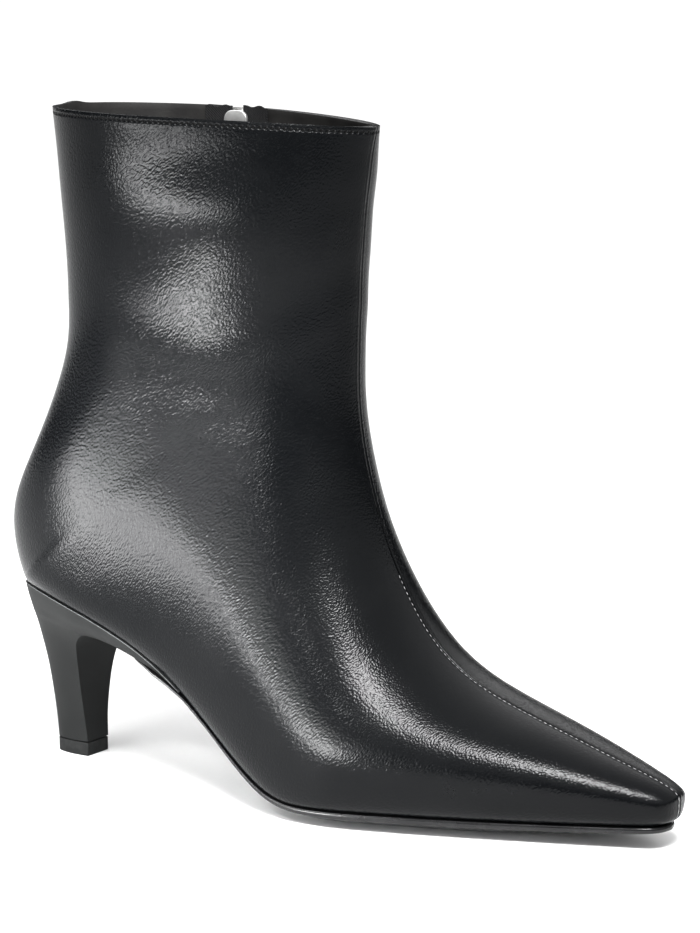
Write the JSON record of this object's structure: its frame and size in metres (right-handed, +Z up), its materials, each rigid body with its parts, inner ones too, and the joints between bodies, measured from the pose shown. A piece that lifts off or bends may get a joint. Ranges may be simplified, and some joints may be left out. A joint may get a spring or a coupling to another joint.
{
  "type": "kitten heel ankle boot",
  "caption": "Right ankle boot in smooth black leather with a pointed toe, a slim curved kitten heel, a thin sole and a zip on the inner side.",
  "frame": {"origin": "middle of the boot's box at the floor it stands on", "axes": "+X to the toe, +Y to the inner side of the foot, +Z up"},
  "size_m": [0.2574, 0.0836, 0.2298],
  "materials": {
    "upper_leather": "smooth, fine grain, semi gloss",
    "insole": "matte",
    "outsole": "semi gloss",
    "heel_cover": "smooth, matte",
    "top_piece": "matte",
    "zip_tape": "woven",
    "zip_metal": "polished"
  },
  "bodies": {
    "boot": {"upper": "upper_leather", "insole": "insole", "outsole": "outsole", "heel": "heel_cover", "top_piece": "top_piece", "zip_tape_back": "zip_tape", "zip_tape_front": "zip_tape", "zip_chain": "zip_metal", "zip_slider": "zip_metal"},
    "pull": {"zip_pull": "zip_metal"}
  },
  "joints": [
    {"name": "pull_swing", "type": "hinge", "parent": "boot", "child": "pull", "pos_m": [-0.0604, 0.03964, 0.22184], "axis": [0.9974, 0.0721, 0.0001], "range_deg": [0, 170]}
  ]
}
